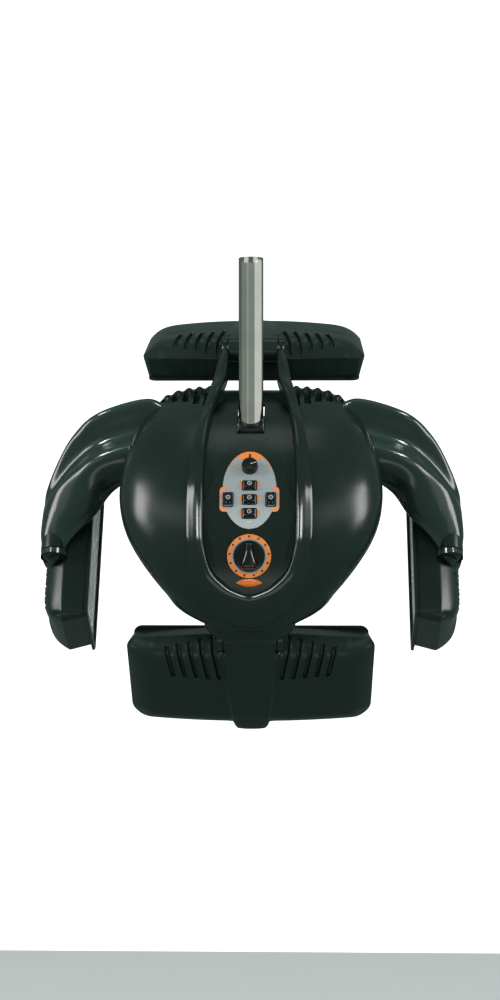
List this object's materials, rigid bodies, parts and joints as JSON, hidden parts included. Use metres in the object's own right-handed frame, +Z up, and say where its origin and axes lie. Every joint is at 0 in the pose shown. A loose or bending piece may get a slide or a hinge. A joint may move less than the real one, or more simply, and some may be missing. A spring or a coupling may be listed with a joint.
{
  "type": "salon hair processor head",
  "caption": "Gloss black salon infrared hair processor head on a steel tube, with a control console, a centre heater and hinged heater panels on curved arms.",
  "frame": {"origin": "centre of the support tube's open top end", "axes": "+Z up along the support tube, +X to the right of someone facing the console, +Y away from them"},
  "size_m": [0.5982, 0.3969, 0.6624],
  "materials": {
    "tube_steel": "polished stainless tube",
    "knuckle_black": "black painted knuckle",
    "gloss_black": "high-gloss black moulding",
    "panel_black": "gloss black moulding with a fine texture",
    "console_black": "gloss black moulding",
    "base_black": "satin black moulding",
    "bezel_black": "gloss black frame",
    "label_grey": "printed grey-blue film",
    "dial_orange": "printed orange ring with dark ticks",
    "lamp_orange": "translucent orange lens",
    "knob_black": "black knob with a white pointer",
    "switch_black": "black rocker and frame",
    "timer_case": "plain moulded case",
    "zinc_steel": "zinc-plated steel",
    "mesh_steel": "bright wire mesh",
    "reflector_aluminium": "polished reflector sheet",
    "quartz_glass": "satin quartz tubes with pale ceramic ends"
  },
  "bodies": {
    "stand": {"support_tube": "tube_steel", "tilt_knuckle": "knuckle_black"},
    "head": {"body_shell": "gloss_black", "body_base": "base_black", "rib_frame": "gloss_black", "console_plate": "console_black", "control_label": "label_grey", "timer_dial": "dial_orange", "pilot_lens": "lamp_orange", "timer_unit": "timer_case", "regulator_unit": "zinc_steel", "switch_housings": "switch_black", "chassis": "zinc_steel", "tilt_pin": "zinc_steel", "tilt_washers": "zinc_steel", "tilt_nut": "zinc_steel", "centre_bezel": "base_black", "centre_grille": "mesh_steel", "centre_reflector": "reflector_aluminium", "centre_heaters": "quartz_glass", "left_arm_cover": "gloss_black", "left_arm_tray": "base_black", "right_arm_cover": "gloss_black", "right_arm_tray": "base_black", "neck_arm": "gloss_black", "frame_screws": "zinc_steel", "lower_hinge_pin": "zinc_steel", "upper_hinge_pin": "zinc_steel", "left_hinge_pin": "zinc_steel", "right_hinge_pin": "zinc_steel"},
    "lower_panel": {"lower_panel_shell": "panel_black", "lower_panel_bezel": "bezel_black", "lower_panel_grille": "mesh_steel", "lower_panel_reflector": "reflector_aluminium", "lower_panel_heaters": "quartz_glass"},
    "upper_panel": {"upper_panel_shell": "panel_black", "upper_panel_bezel": "bezel_black", "upper_panel_grille": "mesh_steel", "upper_panel_reflector": "reflector_aluminium", "upper_panel_heaters": "quartz_glass"},
    "left_panel": {"left_panel_shell": "panel_black", "left_panel_bezel": "bezel_black", "left_panel_grille": "mesh_steel", "left_panel_reflector": "reflector_aluminium", "left_panel_heaters": "quartz_glass"},
    "right_panel": {"right_panel_shell": "panel_black", "right_panel_bezel": "bezel_black", "right_panel_grille": "mesh_steel", "right_panel_reflector": "reflector_aluminium", "right_panel_heaters": "quartz_glass"},
    "timer_knob": {"timer_knob": "knob_black"},
    "regulator_knob": {"regulator_knob": "knob_black"},
    "rocker_top": {"rocker_top": "switch_black"},
    "rocker_centre": {"rocker_centre": "switch_black"},
    "rocker_bottom": {"rocker_bottom": "switch_black"},
    "rocker_left": {"rocker_left": "switch_black"},
    "rocker_right": {"rocker_right": "switch_black"}
  },
  "joints": [
    {"name": "head_tilt", "type": "hinge", "parent": "stand", "child": "head", "pos_m": [0, 0, -0.241], "axis": [1, 0, 0], "range_deg": [-45, 12]},
    {"name": "lower_panel_hinge", "type": "hinge", "parent": "head", "child": "lower_panel", "pos_m": [0, -0.04241, -0.52932], "axis": [-1, 0, 0], "range_deg": [-10, 22]},
    {"name": "upper_panel_hinge", "type": "hinge", "parent": "head", "child": "upper_panel", "pos_m": [0, 0.13357, -0.11764], "axis": [1, 0, 0], "range_deg": [-10, 22]},
    {"name": "left_panel_hinge", "type": "hinge", "parent": "head", "child": "left_panel", "pos_m": [-0.2795, 0.04187, -0.38182], "axis": [0, 0.5, 0.866], "range_deg": [-10, 22]},
    {"name": "right_panel_hinge", "type": "hinge", "parent": "head", "child": "right_panel", "pos_m": [0.2795, 0.04187, -0.38182], "axis": [0, -0.5, -0.866], "range_deg": [-10, 22]},
    {"name": "timer_turn", "type": "hinge", "parent": "head", "child": "timer_knob", "pos_m": [0, -0.09754, -0.41443], "axis": [0, 0.9997, -0.0227], "range_deg": [0, 300]},
    {"name": "regulator_turn", "type": "hinge", "parent": "head", "child": "regulator_knob", "pos_m": [0, -0.06296, -0.29424], "axis": [0, 0.859, -0.512], "range_deg": [0, 270]},
    {"name": "rocker_top_press", "type": "hinge", "parent": "head", "child": "rocker_top", "pos_m": [0, -0.0721, -0.32062], "axis": [0, 0.4115, 0.9114], "range_deg": [-10, 10]},
    {"name": "rocker_centre_press", "type": "hinge", "parent": "head", "child": "rocker_centre", "pos_m": [0, -0.07965, -0.33939], "axis": [0, 0.3338, 0.9426], "range_deg": [-10, 10]},
    {"name": "rocker_bottom_press", "type": "hinge", "parent": "head", "child": "rocker_bottom", "pos_m": [0, -0.08538, -0.3579], "axis": [0, 0.2571, 0.9664], "range_deg": [-10, 10]},
    {"name": "rocker_left_press", "type": "hinge", "parent": "head", "child": "rocker_left", "pos_m": [-0.029, -0.07965, -0.33939], "axis": [-1, 0, 0], "range_deg": [-10, 10]},
    {"name": "rocker_right_press", "type": "hinge", "parent": "head", "child": "rocker_right", "pos_m": [0.029, -0.07965, -0.33939], "axis": [-1, 0, 0], "range_deg": [-10, 10]}
  ]
}
